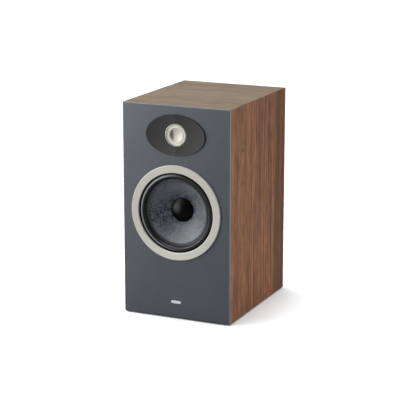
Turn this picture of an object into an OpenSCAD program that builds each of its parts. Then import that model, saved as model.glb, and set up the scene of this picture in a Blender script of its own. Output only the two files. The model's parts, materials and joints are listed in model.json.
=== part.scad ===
// Two-way bookshelf loudspeaker: a wood-wrapped cabinet with a charcoal front,
// a mid-bass driver behind a broad trim ring, an inverted-dome tweeter in an
// oval plate, a flared port and a pair of binding posts at the back.
// Millimetres. +Z is up and the drivers face -Y. The origin lies on the resting
// plane, under the middle of the overall box.

/* [Cabinet] */
// Width over the wood wrap
cab_w = 212; // [210:1:220]
// Height of the cabinet without its feet
cab_h = 394; // [390:1:410]
// Depth from the front face to the rear edges of the wrap
cab_d = 264; // [256:1:300]
// Thickness of the wrap, the baffle and the rear panel
wall_t = 18; // [16:1:18]
// Radius of the front panel's edges and corners
edge_r = 2; // [1:0.5:3]
// Height of the rubber feet
foot_h = 2; // [1:0.5:5]

/* [Woofer] */
// Height of the woofer's axis above the cabinet's underside
woofer_up = 198; // [190:1:200]
// Outer diameter of the trim ring
trim_d = 176; // [175:0.2:184]
// How far the trim ring stands proud of the front
trim_proud = 3.2; // [2.4:0.1:4]
// Diameter of the cone where it meets the surround
cone_d = 115; // [110:1:116]
// Diameter of the dust cap
cap_d = 45.6; // [38:0.2:50]

/* [Tweeter] */
// Distance of the tweeter's axis below the cabinet's top
tweeter_down = 53.5; // [53.5:0.5:58]
// Width of the oval plate
plate_w = 115.4; // [110:0.2:130]
// Height of the oval plate
plate_h = 74.8; // [74.6:0.2:78]
// Diameter of the dome
dome_d = 25; // [24:0.1:25]

/* [Port and terminals] */
// Inner diameter of the port
port_d = 50; // [40:1:52]
// Length of the port from the rear panel
port_len = 150; // [100:5:160]
// Distance between the two binding posts
post_gap = 19.05; // [19:0.05:22]
// Diameter of the plug bore in each binding post
plug_bore_d = 4; // [3.9:0.05:4.2]

/* [Badge] */
// Width of the plain badge
badge_w = 20; // [10:1:40]

/* [Hidden] */
$fn = 96;

// Overall layout: how far the knobs stand behind the cabinet fixes the box's middle
post_proud = 7;
front_y = (trim_proud - cab_d - post_proud) / 2;
back_y = front_y + cab_d;
fascia_t = 4;
rear_recess = 1;
rear_y = back_y - rear_recess;
in_w = cab_w - 2 * wall_t;
in_h = cab_h - 2 * wall_t;
cab_mid_z = foot_h + cab_h / 2;
floor_z = foot_h + wall_t;
baffle_back = fascia_t + wall_t;
woofer_z = foot_h + woofer_up;
tweeter_z = foot_h + cab_h - tweeter_down;

// Fits between pieces, how far a cutter runs past its work, and how far joined shapes lap
glue_gap = 0.05;
drop_in = 0.4;
body_gap = 0.3;
past = 1;
lap = 0.1;
small_fn = 24;

// Brace, wadding and feet
brace_t = 12;
brace_z = foot_h + 282;
brace_rail = 26;
window_r = 12;
pad_t = 14;
pad_clear = 6;
pad_brace_gap = 2;
foot_r = 9;
foot_inset = 24;

// Badge
badge_h = 5;
badge_t = 1.2;
badge_step = 0.4;
badge_up = 30;

// Woofer, with s the depth behind the front face and r the radius
trim_r = trim_d / 2;
trim_bore_r = 74;
trim_round = 1;
flange_r = 86;
flange_s = 0.2;
flange_t = 3;
basket_hole_r = 75.5;
wall_r = 75.1;
step_r = 72;
step_s = 5.2;
leg_s = 23.4;
leg_in = 46.8;
land_out = 50;
land_s = 47;
window_s = [25, 45];
window_in = [30, 14];
window_out = [90, 38];
screw_ring_r = 80.5;
woofer_screws_n = 6;
pan_head_r = 3.4;
pan_head_h = 1.5;
shank_r = 2;
shank_len = 18;
roll_r = 67.4;
roll_out = 4.6;
roll_t = 0.7;
roll_s = 4.9;
strip_t = 0.6;
strip_drop = 0.4;
rim_r = 61;
cone_r = cone_d / 2;
cone_s = 6.5;
cone_t = 0.9;
rim_rise = 0.6;
neck_t = 1.5;
cap_r = cap_d / 2;
cap_s = 27.5;
cap_rise = 7;
cap_t = 0.6;
cone_slope = (cap_s - cone_s) / (cone_r - cap_r);
former_r = 15.4;
former_t = 0.3;
neck_r = former_r + former_t;
neck_s = cap_s + (cap_r - neck_r) * cone_slope;
former_end = 72;
coil_s0 = 57.5;
coil_s1 = 70.5;
coil_t = 0.9;
spider_s = 48;
spider_r = 45.8;
spider_t = 0.6;
spider_wave = 1.1;
spider_waves = 5;
land_r = 41.5;
seat_s = 58.5;
seat_t = 2.5;
plate_s = seat_s + seat_t;
plate_t = 6;
magnet_t = 18;
magnet_r = 50;
motor_r = 46;
gap_r = 17.2;
pole_r = 14.9;
vent_r = 5;
magnet_in = 24;
tag_strip = [22, 2, 8];
tag_strip_s = 50;
tag_size = [4.8, 9, 0.8];
tag_s = 53.5;
lead_x = 7;
lead_r = 0.7;
magnet_s = plate_s + plate_t;
yoke_s = magnet_s + magnet_t;

// Tweeter, with s and r as on the woofer
plate_hole_r = 21.6;
horn_r = 300;
horn_x = 14;
horn_deep = 3.4;
peg_x = 44;
peg_z = 14;
peg_r = 2;
peg_len = 6;
bezel_in = 17.6;
bezel_out = 20.8;
bezel_round = 0.6;
lip_in = 16.6;
lip_s = 0.8;
lip_t = 0.8;
chassis_r = 34.6;
chassis_s = 8;
collar_in = 15.6;
collar_s = 2.4;
t_plate_s = 7.2;
t_plate_t = 4;
t_motor_r = 28;
t_fit = 0.2;
skirt_t = 1.3;
skirt_end = 9.5;
t_hole_r = 29.6;
t_gasket_t = 0.6;
t_screw_ring_r = 31.5;
t_screws_n = 4;
t_head_r = 2.2;
t_head_h = 2;
t_head_s = 6.2;
t_shank_r = 1.4;
t_shank_len = 13;
dome_r = dome_d / 2;
dome_s = 1.6;
dome_deep = 3.4;
dome_t = 0.4;
dome_flange = 0.2;
t_former_t = 0.15;
t_former_end = 11;
t_coil_t = 0.4;
t_coil_in = 0.4;
t_gap_r = 13.5;
t_pole_r = 12;
t_magnet_t = 12;
t_magnet_in = 17;
t_magnet_s = t_plate_s + t_plate_t;
t_yoke_s = t_magnet_s + t_magnet_t;
t_yoke_t = 4;
t_vent_r = 4;
chamber_r = 23;
chamber_t = 2;
chamber_len = 15;
t_strip = [16, 4, 1.6];
t_strip_gap = 0.5;
t_tag = [2.8, 0.8, 8];
t_tag_x = 5;
t_roll_r = 14.3;
t_roll_out = 1.25;
t_roll_t = 0.4;
t_roll_s = 1.9;

// Port
port_down = 68;
port_z = foot_h + cab_h - port_down;
port_r = port_d / 2;
port_wall = 2.5;
flare_r = 14;
port_flange_r = port_r + 21;
port_flange_t = 2.5;
socket_s = 14;
socket_len = 20;
port_barrel_r = port_r + 8;
port_cut_r = port_barrel_r + 0.5;
port_screw_r = port_r + 17.4;
port_screws_n = 4;

// The port's and the terminal cup's screws
s_head_r = 2.7;
s_head_h = 1.6;
s_shank_r = 1.5;
s_shank_len = 15;
s_clear = 0.2;

// Terminal cup, with u the distance out from the dish's floor
terminal_up = 86;
terminal_z = foot_h + terminal_up;
cup_plate = [96, 76];
cup_plate_r = 6;
cup_dish = [62, 46];
cup_dish_r = 5;
cup_wall = 3;
cup_floor = 12;
cup_gasket_t = 0.8;
cup_plate_t = 2.2;
cup_top = -cup_gasket_t - cup_plate_t;
cup_screw = [40, 30];
cup_cut = cup_dish + 2 * [cup_wall + 1, cup_wall + 1];
post_r = 3;
post_out = cup_floor + rear_recess + post_proud - 0.5;
post_in = 18;
plug_bore_len = 15;
collar_r = 7;
collar_t = 2.5;
washer_r = 5.5;
washer_t = 1.2;
washer_bore_r = 3.3;
stack_gap = 0.1;
knob_r = 6.5;
knob_step = 0.7;
knob_band = 2;
knob_bore_r = 3.08;
knob_s = collar_t + washer_t + 2 * stack_gap;
knob_len = cup_floor + rear_recess + post_proud - knob_s;
flute_n = 16;
flute_r = 0.8;
nut_r = 5.7;
nut_t = 5;
lug_t = 0.8;
lug_r = 5;
lug_tail = [4, 14];

// Crossover
board_size = [130, 100];
board_t = 1.6;
board_y = 8;
standoff_h = 6;
standoff_r = 3;
board_z = floor_z + standoff_h;
parts_z = board_z + board_t;
board_hole = [58, 43];
board_screw_r = 1.5;
board_head_r = 2.8;
board_head_h = 1.8;

// Internal wiring, with the places where its routes end
wire_r = 1.3;
lug_y = rear_y - cup_floor - cup_wall - lug_t;
lug_drop = 11;
pad_y = board_y + board_size.y / 2 - 5;
pad_front_y = board_y - board_size.y / 2 + 5;
tag_y = front_y + tag_s + tag_size.z / 2;
tag_tip_z = woofer_z - land_out - tag_strip.y - tag_size.y;
t_tag_y = front_y + t_yoke_s + t_yoke_t + t_strip.z + t_tag.z;
t_tag_z = tweeter_z - chamber_r - t_strip_gap - t_strip.y / 2;

// ---- shared shapes ----

// Local z runs into the cabinet from the front face and local y runs down
module on_front(x, z) {
    translate([x, front_y, z]) rotate([-90, 0, 0]) children();
}

// Local z runs into the cabinet from the rear panel and local y runs up
module on_rear(x, z) {
    translate([x, rear_y, z]) rotate([90, 0, 0]) children();
}

// A flat outline in x and z, run from y0 to y1
module along_y(y0, y1) {
    translate([0, y1, 0]) rotate([90, 0, 0]) linear_extrude(y1 - y0) children();
}

// A ring, or a disc where r0 is 0, between depths s0 and s1
module ring(r0, r1, s0, s1) {
    translate([0, 0, s0]) linear_extrude(s1 - s0) difference() {
        circle(r1);
        if (r0 > 0) circle(r0);
    }
}

module rounded_rect(size, r) {
    square([size.x - 2 * r, size.y], center = true);
    square([size.x, size.y - 2 * r], center = true);
    for (i = [-1, 1], j = [-1, 1])
        translate([i * (size.x / 2 - r), j * (size.y / 2 - r)]) circle(r);
}

module at_corners(half) {
    for (i = [-1, 1], j = [-1, 1]) translate([i * half.x, j * half.y, 0]) children();
}

module oval(grow = 0) {
    scale([plate_w / 2 + grow, plate_h / 2 + grow]) circle(1);
}

// n copies round the local z axis at radius r, starting at angle a0
module around(n, r, a0 = 0) {
    for (i = [0 : n - 1]) rotate(a0 + i * 360 / n) translate([r, 0, 0]) children();
}

// A cross-slot screw whose head sits on z = 0 and whose shank runs to +z
module screw(head_r, head_h, r, len) {
    slot = [head_r * 1.1, head_r * 0.3, head_h];
    difference() {
        ring(0, head_r, -head_h, 0, $fn = small_fn);
        for (a = [0, 90]) rotate(a) translate([0, 0, -head_h]) cube(slot, center = true);
    }
    ring(0, r, 0, len, $fn = small_fn);
}

// A round tube swept through a list of points, flat at both ends
module tube(points, r, sides = 8) {
    n = len(points);
    function way(i) = points[min(i + 1, n - 1)] - points[max(i - 1, 0)];
    function unit(v) = v / norm(v);
    function side(i) = unit(cross(way(i), [1, 0, 0]));
    function other(i) = unit(cross(way(i), side(i)));
    rings = [
        for (i = [0 : n - 1], k = [0 : sides - 1])
            points[i] + r * cos(k * 360 / sides) * side(i) + r * sin(k * 360 / sides) * other(i)
    ];
    walls = [
        for (i = [0 : n - 2], k = [0 : sides - 1])
            let (a = i * sides + k, b = i * sides + (k + 1) % sides)
                [a, b, b + sides, a + sides]
    ];
    start_cap = [for (k = [sides - 1 : -1 : 0]) k];
    end_cap = [for (k = [0 : sides - 1]) (n - 1) * sides + k];
    polyhedron(rings, concat(walls, [start_cap, end_cap]));
}

// ---- cabinet ----

module wrap_side() {
    x0 = cab_w / 2;
    z0 = foot_h;
    z1 = foot_h + cab_h;
    along_y(front_y + fascia_t, back_y)
        polygon([[x0, z0], [x0, z1], [x0 - wall_t, z1 - wall_t], [x0 - wall_t, z0 + wall_t]]);
}

module wrap_flat() {
    x0 = cab_w / 2;
    along_y(front_y + fascia_t, back_y)
        polygon([[-x0, 0], [x0, 0], [x0 - wall_t, wall_t], [wall_t - x0, wall_t]]);
}

module side_panel_right() {
    color("#7d5a46") wrap_side();
}

module side_panel_left() {
    color("#7d5a46") mirror([1, 0, 0]) wrap_side();
}

module bottom_panel() {
    color("#7d5a46") translate([0, 0, foot_h]) wrap_flat();
}

module top_panel() {
    color("#948473") translate([0, 0, foot_h + cab_h]) mirror([0, 0, 1]) wrap_flat();
}

module rear_panel() {
    color("#26272a") difference() {
        translate([-in_w / 2, rear_y - wall_t, floor_z]) cube([in_w, wall_t, in_h]);
        on_rear(0, port_z) {
            ring(0, port_cut_r, -past, wall_t + past);
            around(port_screws_n, port_screw_r, 45) pilot();
        }
        on_rear(0, terminal_z) {
            translate([0, 0, -past]) linear_extrude(wall_t + 2 * past)
                rounded_rect(cup_cut, cup_dish_r + cup_wall);
            at_corners(cup_screw) pilot();
        }
    }
}

module pilot() {
    ring(0, s_shank_r + glue_gap, -past, s_shank_len - past, $fn = small_fn);
}

module front_baffle() {
    color("#8a6a4a") difference() {
        translate([-in_w / 2, front_y + fascia_t, floor_z]) cube([in_w, wall_t, in_h]);
        on_front(0, woofer_z) {
            ring(0, basket_hole_r, 0, baffle_back + past);
            around(woofer_screws_n, screw_ring_r, 30)
                ring(0, shank_r + glue_gap, 0, shank_len + 2 * past, $fn = small_fn);
        }
        on_front(0, tweeter_z) {
            ring(0, chassis_r + drop_in, 0, chassis_s + t_gasket_t);
            ring(0, t_hole_r, 0, baffle_back + past);
            around(t_screws_n, t_screw_ring_r, 45)
                ring(0, t_shank_r + glue_gap, 0, t_head_s + t_shank_len + past, $fn = small_fn);
            at_corners([peg_x, peg_z]) ring(0, peg_r + glue_gap, 0, fascia_t + peg_len + past);
        }
    }
}

// The front panel: a slab whose front edges and corners are rounded to edge_r
module soft_slab(w, h, t, r) {
    translate([0, 0, r]) linear_extrude(t - r) rounded_rect([w, h], r);
    translate([r - w / 2, r - h / 2, 0]) cube([w - 2 * r, h - 2 * r, t]);
    for (i = [-1, 1]) {
        translate([i * (w / 2 - r), r - h / 2, r]) rotate([-90, 0, 0]) cylinder(r = r, h = h - 2 * r);
        translate([r - w / 2, i * (h / 2 - r), r]) rotate([0, 90, 0]) cylinder(r = r, h = w - 2 * r);
        for (j = [-1, 1]) translate([i * (w / 2 - r), j * (h / 2 - r), r]) sphere(r);
    }
}

module front_fascia() {
    color("#565c63") difference() {
        on_front(0, cab_mid_z) soft_slab(cab_w, cab_h, fascia_t, edge_r, $fn = 48);
        on_front(0, woofer_z) ring(0, flange_r + drop_in, -past, fascia_t + past);
        on_front(0, tweeter_z) translate([0, 0, -past]) linear_extrude(fascia_t + 2 * past)
            oval(drop_in);
    }
}

module window_brace() {
    y0 = front_y + baffle_back;
    y1 = rear_y - wall_t;
    window = [in_w - 2 * brace_rail, y1 - y0 - 2 * brace_rail];
    color("#b08d62") difference() {
        translate([-in_w / 2, y0, brace_z]) cube([in_w, y1 - y0, brace_t]);
        translate([0, (y0 + y1) / 2, brace_z - past])
            linear_extrude(brace_t + 2 * past) rounded_rect(window, window_r);
    }
}

module damping_wadding() {
    y0 = front_y + baffle_back + pad_clear;
    y1 = rear_y - wall_t - pad_clear;
    low = [floor_z + pad_clear, brace_z - pad_brace_gap];
    high = [brace_z + brace_t + pad_brace_gap, floor_z + in_h - pad_clear];
    color("#d9d6cc") for (span = [low, high], side = [0, 1]) mirror([side, 0, 0])
        translate([in_w / 2 - pad_t, y0, span[0]]) cube([pad_t, y1 - y0, span[1] - span[0]]);
}

module rubber_feet() {
    color("#1c1c1e") for (i = [-1, 1], y = [front_y + foot_inset, back_y - foot_inset])
        translate([i * (cab_w / 2 - foot_inset), y, 0]) cylinder(r = foot_r, h = foot_h);
}

module badge() {
    module pill(w, h, t) {
        cube([w - h, h, 2 * t], center = true);
        for (i = [-1, 1]) translate([i * (w - h) / 2, 0, -t]) cylinder(r = h / 2, h = 2 * t);
    }
    color("#c9ccd0") intersection() {
        on_front(0, foot_h + badge_up) {
            pill(badge_w, badge_h, badge_t - badge_step);
            pill(badge_w - 2 * badge_step, badge_h - 2 * badge_step, badge_t);
        }
        translate([-badge_w, front_y - badge_h, foot_h]) cube([2 * badge_w, badge_h, 2 * badge_up]);
    }
}

// ---- woofer ----

module woofer_trim_ring() {
    r = trim_round;
    color("#c4c2b4") on_front(0, woofer_z) difference() {
        rotate_extrude() {
            translate([trim_bore_r, r - trim_proud]) square([trim_r - trim_bore_r, trim_proud - r]);
            translate([trim_bore_r + r, -trim_proud]) square([trim_r - trim_bore_r - 2 * r, trim_proud]);
            translate([trim_bore_r + r, r - trim_proud]) circle(r, $fn = 48);
            translate([trim_r - r, r - trim_proud]) circle(r, $fn = 48);
            translate([trim_bore_r, -r]) square([flange_r - trim_bore_r, r + flange_s]);
        }
        groove = pan_head_r + body_gap;
        top = flange_s - pan_head_h - body_gap;
        ring(screw_ring_r - groove, screw_ring_r + groove, top, flange_s + past);
    }
}

module woofer_gasket() {
    s = flange_s + flange_t;
    color("#303030") on_front(0, woofer_z) difference() {
        ring(basket_hole_r + body_gap, flange_r, s, fascia_t);
        around(woofer_screws_n, screw_ring_r, 30)
            ring(0, shank_r + body_gap, 0, baffle_back, $fn = small_fn);
    }
}

module woofer_basket() {
    s = flange_s + flange_t;
    color("#2b2c2f") on_front(0, woofer_z) difference() {
        rotate_extrude() polygon([
            [trim_bore_r, flange_s], [flange_r, flange_s], [flange_r, s], [wall_r, s],
            [wall_r, baffle_back], [land_out, land_s], [land_out, seat_s], [motor_r, plate_s],
            [magnet_in, plate_s], [magnet_in, seat_s], [land_r, seat_s],
            [land_r, spider_s + spider_t], [leg_in, spider_s + spider_t], [step_r, leg_s],
            [step_r, step_s], [trim_bore_r, step_s]
        ]);
        for (i = [0 : 5]) rotate(i * 60) translate([0, 0, window_s[0]])
            linear_extrude(window_s[1] - window_s[0]) polygon([
                [window_in.x, -window_in.y], [window_out.x, -window_out.y],
                [window_out.x, window_out.y], [window_in.x, window_in.y]
            ]);
        around(woofer_screws_n, screw_ring_r, 30)
            ring(0, shank_r + body_gap, -past, baffle_back, $fn = small_fn);
    }
}

module woofer_screws() {
    color("#3a3a3c") on_front(0, woofer_z) around(woofer_screws_n, screw_ring_r, 30)
        translate([0, 0, flange_s]) screw(pan_head_r, pan_head_h, shank_r, shank_len);
}

// Half-roll surround: a foot on the basket's step and a strip over the cone's rim
module woofer_surround() {
    inner_r = roll_r - roll_out;
    foot_r0 = roll_r + roll_out - roll_t;
    color("#1f2023") on_front(0, woofer_z) rotate_extrude() {
        difference() {
            translate([roll_r, roll_s]) circle(roll_out);
            translate([roll_r, roll_s]) circle(roll_out - roll_t);
            translate([roll_r - 2 * roll_out, roll_s]) square([4 * roll_out, 2 * roll_out]);
        }
        translate([foot_r0, roll_s - lap]) square([trim_bore_r - lap - foot_r0, step_s - roll_s + lap]);
        polygon([
            [inner_r + roll_t, roll_s - 2 * lap], [inner_r + roll_t, roll_s + strip_drop],
            [cone_r, cone_s - body_gap], [cone_r, cone_s - body_gap - strip_t],
            [inner_r, roll_s - 2 * lap]
        ]);
    }
}

module woofer_spider() {
    r0 = neck_r + body_gap;
    steps = 48;
    function wave(r) = spider_wave * sin(360 * spider_waves * (r - r0) / (land_r - r0));
    front = [for (i = [0 : steps]) let (r = r0 + i * (land_r - r0) / steps) [r, spider_s + wave(r)]];
    back = [for (i = [steps : -1 : 0]) front[i] + [0, spider_t]];
    color("#b3a15c") on_front(0, woofer_z) rotate_extrude() {
        polygon(concat(front, back));
        translate([land_r - 2 * lap, spider_s]) square([spider_r - land_r + 2 * lap, spider_t]);
    }
}

module woofer_top_plate() {
    color("#8f9399") on_front(0, woofer_z) ring(gap_r, motor_r, plate_s, magnet_s);
}

module woofer_magnet() {
    color("#3d3d42") on_front(0, woofer_z) ring(magnet_in, magnet_r, magnet_s, yoke_s);
}

module woofer_yoke() {
    color("#8f9399") on_front(0, woofer_z) difference() {
        union() {
            ring(0, motor_r, yoke_s, yoke_s + plate_t);
            ring(0, pole_r, plate_s, yoke_s);
        }
        ring(0, vent_r, plate_s - past, yoke_s + plate_t + past);
    }
}

// Two blade tags on an insulating strip, on the basket's lower side
module woofer_terminals() {
    color("#c8a04a") on_front(0, woofer_z) {
        translate([-tag_strip.x / 2, land_out, tag_strip_s]) cube(tag_strip);
        for (i = [-1, 1])
            translate([i * lead_x - tag_size.x / 2, land_out + tag_strip.y, tag_s]) cube(tag_size);
    }
}

// From the strip, out and forward past the leg's foot, in through a window, to the cone
module woofer_tinsel_leads() {
    color("#b87333") on_front(0, woofer_z) for (i = [-1, 1]) tube([
        for (p = [
            [1, tag_strip_s], [1, 49.2], [1.8, 48], [3.3, 46.2], [3.5, 44.4], [2, 42.7],
            [-1.5, 41.8], [-5, 41.6], [-9, 41.6], [-13, 41], [-17, 40.2], [-20.5, 38],
            [-22.8, 34], [-23.6, 29.8], [-23.8, 26.5]
        ]) [i * lead_x, land_out + p.x, p.y]
    ], lead_r);
}

// The rim is shallow where the surround's strip lies, and the rest is one straight flare
module woofer_cone() {
    rim_s = cone_s - rim_rise;
    back = 1.2 * cone_t;
    color("#5b5e68") on_front(0, woofer_z) rotate_extrude() polygon([
        [rim_r, rim_s], [cone_r, cone_s], [cap_r, cap_s], [neck_r, neck_s],
        [neck_r, neck_s + neck_t], [cap_r, cap_s + back], [cone_r, cone_s + back],
        [rim_r, rim_s + cone_t]
    ]);
}

module woofer_dust_cap() {
    big_r = (cap_r * cap_r + cap_rise * cap_rise) / (2 * cap_rise);
    mid_s = cap_s - cap_rise + big_r;
    color("#101012") on_front(0, woofer_z) rotate_extrude() intersection() {
        difference() {
            translate([0, mid_s]) circle(big_r, $fn = 180);
            translate([0, mid_s]) circle(big_r - cap_t, $fn = 180);
        }
        translate([0, cap_s - cap_rise - past]) square([cap_r, cap_rise + past]);
    }
}

module woofer_former() {
    color("#c99a5b") on_front(0, woofer_z) ring(former_r, neck_r, neck_s - neck_t / 2, former_end);
}

module woofer_voice_coil() {
    color("#b5622d") on_front(0, woofer_z) ring(neck_r, neck_r + coil_t, coil_s0, coil_s1);
}

// ---- tweeter ----

// Oval plate with two shallow scoops that meet in a faint upright crease
module tweeter_faceplate() {
    color("#414141") on_front(0, tweeter_z) {
        difference() {
            translate([0, 0, -trim_proud]) linear_extrude(trim_proud + fascia_t) oval();
            for (i = [-1, 1]) translate([i * horn_x, 0, horn_deep - trim_proud - horn_r])
                sphere(horn_r, $fn = 360);
            ring(0, plate_hole_r, -trim_proud - past, fascia_t + past);
        }
        at_corners([peg_x, peg_z]) ring(0, peg_r, fascia_t - past, fascia_t + peg_len);
    }
}

// A flat band with a rounded outer edge and a thin lip that reaches in over the suspension
module tweeter_bezel() {
    r = bezel_round;
    color("#c9c9c6") on_front(0, tweeter_z) rotate_extrude() {
        translate([bezel_in, r]) square([bezel_out - bezel_in, fascia_t - r]);
        translate([bezel_in + 1.5 * r, 0]) square([bezel_out - bezel_in - 2.5 * r, 2 * r]);
        translate([bezel_out - r, r]) circle(r, $fn = small_fn);
        translate([lip_in, lip_s]) square([bezel_in - lip_in + lap, lip_t]);
    }
}

module tweeter_chassis() {
    skirt_r = t_motor_r + t_fit;
    color("#26272a") on_front(0, tweeter_z) difference() {
        rotate_extrude() {
            translate([bezel_in, fascia_t]) square([chassis_r - bezel_in, t_plate_s - fascia_t]);
            translate([collar_in, collar_s]) square([bezel_in - collar_in, t_plate_s - collar_s]);
            translate([skirt_r, t_plate_s - lap]) square([skirt_t, skirt_end - t_plate_s + lap]);
            translate([skirt_r, t_plate_s - lap]) square([chassis_r - skirt_r, chassis_s - t_plate_s + lap]);
        }
        around(t_screws_n, t_screw_ring_r, 45) {
            ring(0, t_head_r + t_fit, 0, t_head_s, $fn = small_fn);
            ring(0, t_shank_r + t_fit, 0, skirt_end + past, $fn = small_fn);
        }
    }
}

module tweeter_gasket() {
    color("#303030") on_front(0, tweeter_z) difference() {
        ring(t_hole_r + lap, chassis_r, chassis_s, chassis_s + t_gasket_t);
        around(t_screws_n, t_screw_ring_r, 45)
            ring(0, t_shank_r + t_fit, 0, baffle_back, $fn = small_fn);
    }
}

module tweeter_screws() {
    color("#3a3a3c") on_front(0, tweeter_z) around(t_screws_n, t_screw_ring_r, 45)
        translate([0, 0, t_head_s]) screw(t_head_r, t_head_h, t_shank_r, t_shank_len);
}

module tweeter_surround() {
    lip_r0 = t_roll_r + t_roll_out - t_roll_t;
    color("#d7d4c3") on_front(0, tweeter_z) rotate_extrude() {
        difference() {
            translate([t_roll_r, t_roll_s]) circle(t_roll_out, $fn = 48);
            translate([t_roll_r, t_roll_s]) circle(t_roll_out - t_roll_t, $fn = 48);
            translate([t_roll_r - 2 * t_roll_out, t_roll_s]) square([4 * t_roll_out, 2 * t_roll_out]);
        }
        translate([lip_r0, t_roll_s - lap])
            square([bezel_in - t_fit - lip_r0, collar_s - t_roll_s + lap]);
    }
}

module tweeter_top_plate() {
    color("#8f9399") on_front(0, tweeter_z) ring(t_gap_r, t_motor_r, t_plate_s, t_magnet_s);
}

module tweeter_magnet() {
    color("#3d3d42") on_front(0, tweeter_z) ring(t_magnet_in, t_motor_r - 1, t_magnet_s, t_yoke_s);
}

module tweeter_yoke() {
    color("#8f9399") on_front(0, tweeter_z) difference() {
        union() {
            ring(0, t_motor_r, t_yoke_s, t_yoke_s + t_yoke_t);
            ring(0, t_pole_r, t_plate_s, t_yoke_s);
        }
        ring(0, t_vent_r, 0, t_yoke_s + t_yoke_t + past);
    }
}

module tweeter_rear_chamber() {
    s = t_yoke_s + t_yoke_t;
    color("#1b1b1d") on_front(0, tweeter_z) difference() {
        ring(0, chamber_r, s, s + chamber_len);
        ring(0, chamber_r - chamber_t, s - past, s + chamber_len - chamber_t);
    }
}

module tweeter_terminals() {
    s = t_yoke_s + t_yoke_t;
    y = chamber_r + t_strip_gap;
    color("#c8a04a") on_front(0, tweeter_z) {
        translate([-t_strip.x / 2, y, s]) cube(t_strip);
        for (i = [-1, 1])
            translate([i * t_tag_x - t_tag.x / 2, y + (t_strip.y - t_tag.y) / 2, s + t_strip.z]) cube(t_tag);
    }
}

// Inverted dome: a shallow bowl that opens to the front
module tweeter_dome() {
    big_r = (dome_r * dome_r + dome_deep * dome_deep) / (2 * dome_deep);
    mid_s = dome_s + dome_deep - big_r;
    color("#d8d4c6") on_front(0, tweeter_z) rotate_extrude() {
        intersection() {
            difference() {
                translate([0, mid_s]) circle(big_r + dome_t, $fn = 180);
                translate([0, mid_s]) circle(big_r, $fn = 180);
            }
            translate([0, dome_s]) square([dome_r, dome_deep + past]);
        }
        translate([dome_r - dome_t, dome_s]) square([dome_t + dome_flange, dome_t]);
    }
}

module tweeter_former() {
    color("#c99a5b") on_front(0, tweeter_z)
        ring(dome_r, dome_r + t_former_t, dome_s + dome_t, t_former_end);
}

module tweeter_voice_coil() {
    r = dome_r + t_former_t;
    color("#b5622d") on_front(0, tweeter_z)
        ring(r, r + t_coil_t, t_plate_s + t_coil_in, t_magnet_s - t_coil_in);
}

// ---- port ----

// Flange, flared mouth, barrel through the panel and a sleeve that takes the tube
module port_flare() {
    color("#1b1b1d") on_rear(0, port_z) difference() {
        rotate_extrude() {
            intersection() {
                translate([port_r, -port_flange_t]) square(flare_r);
                translate([port_r + flare_r, flare_r - port_flange_t]) circle(flare_r);
                union() {
                    translate([0, -port_flange_t]) square([port_flange_r, port_flange_t]);
                    square([port_barrel_r, socket_s]);
                }
            }
            translate([port_r + flare_r - lap, -port_flange_t])
                square([port_flange_r - port_r - flare_r + lap, port_flange_t]);
            translate([port_r, flare_r - port_flange_t - lap])
                square([port_barrel_r - port_r, socket_s - flare_r + port_flange_t + lap]);
            translate([port_r + port_wall + glue_gap, socket_s - lap]) square([port_wall, socket_len]);
        }
        around(port_screws_n, port_screw_r, 45)
            ring(0, s_shank_r + s_clear, -port_flange_t - past, past, $fn = small_fn);
    }
}

module port_tube() {
    color("#2b2b2d") on_rear(0, port_z) ring(port_r, port_r + port_wall, socket_s, port_len);
}

module port_screws() {
    color("#5a5b5e") on_rear(0, port_z) around(port_screws_n, port_screw_r, 45)
        translate([0, 0, -port_flange_t]) screw(s_head_r, s_head_h, s_shank_r, s_shank_len);
}

// ---- terminals ----

module terminal_cup() {
    outer = cup_dish + 2 * [cup_wall, cup_wall];
    color("#1b1b1d") on_rear(0, terminal_z) difference() {
        union() {
            translate([0, 0, cup_top]) linear_extrude(cup_plate_t) rounded_rect(cup_plate, cup_plate_r);
            translate([0, 0, cup_top]) linear_extrude(cup_floor + cup_wall - cup_top)
                rounded_rect(outer, cup_dish_r + cup_wall);
        }
        translate([0, 0, cup_top - past]) linear_extrude(cup_floor - cup_top + past)
            rounded_rect(cup_dish, cup_dish_r);
        at_corners(cup_screw) ring(0, s_shank_r + s_clear, cup_top - past, past, $fn = small_fn);
        at_posts() ring(0, post_r + glue_gap, 0, cup_floor + cup_wall + past);
    }
}

module terminal_gasket() {
    color("#303030") on_rear(0, terminal_z) translate([0, 0, -cup_gasket_t])
        linear_extrude(cup_gasket_t) difference() {
            rounded_rect(cup_plate, cup_plate_r);
            rounded_rect(cup_cut, cup_dish_r + cup_wall);
            at_corners(cup_screw) circle(s_shank_r + s_clear, $fn = small_fn);
        }
}

module terminal_screws() {
    color("#5a5b5e") on_rear(0, terminal_z) at_corners(cup_screw)
        translate([0, 0, cup_top]) screw(s_head_r, s_head_h, s_shank_r, s_shank_len);
}

module at_posts(which = [-1, 1]) {
    for (i = which) translate([i * post_gap / 2, 0, 0]) children();
}

// Local z runs out of the dish from its floor, away from the cabinet
module from_floor() {
    translate([0, 0, cup_floor]) mirror([0, 0, 1]) children();
}

module binding_posts() {
    color("#c9a24d") on_rear(0, terminal_z) at_posts() from_floor() difference() {
        ring(0, post_r, -post_in, post_out);
        ring(0, plug_bore_d / 2, post_out - plug_bore_len, post_out + past);
    }
}

module post_collars() {
    color("#232325") on_rear(0, terminal_z) at_posts() from_floor()
        ring(post_r + glue_gap, collar_r, 0, collar_t);
}

module post_nuts() {
    color("#c9a24d") on_rear(0, terminal_z) at_posts() from_floor()
        translate([0, 0, -cup_wall - lug_t - nut_t]) linear_extrude(nut_t) difference() {
            circle(nut_r, $fn = 6);
            circle(post_r + glue_gap);
        }
}

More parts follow.
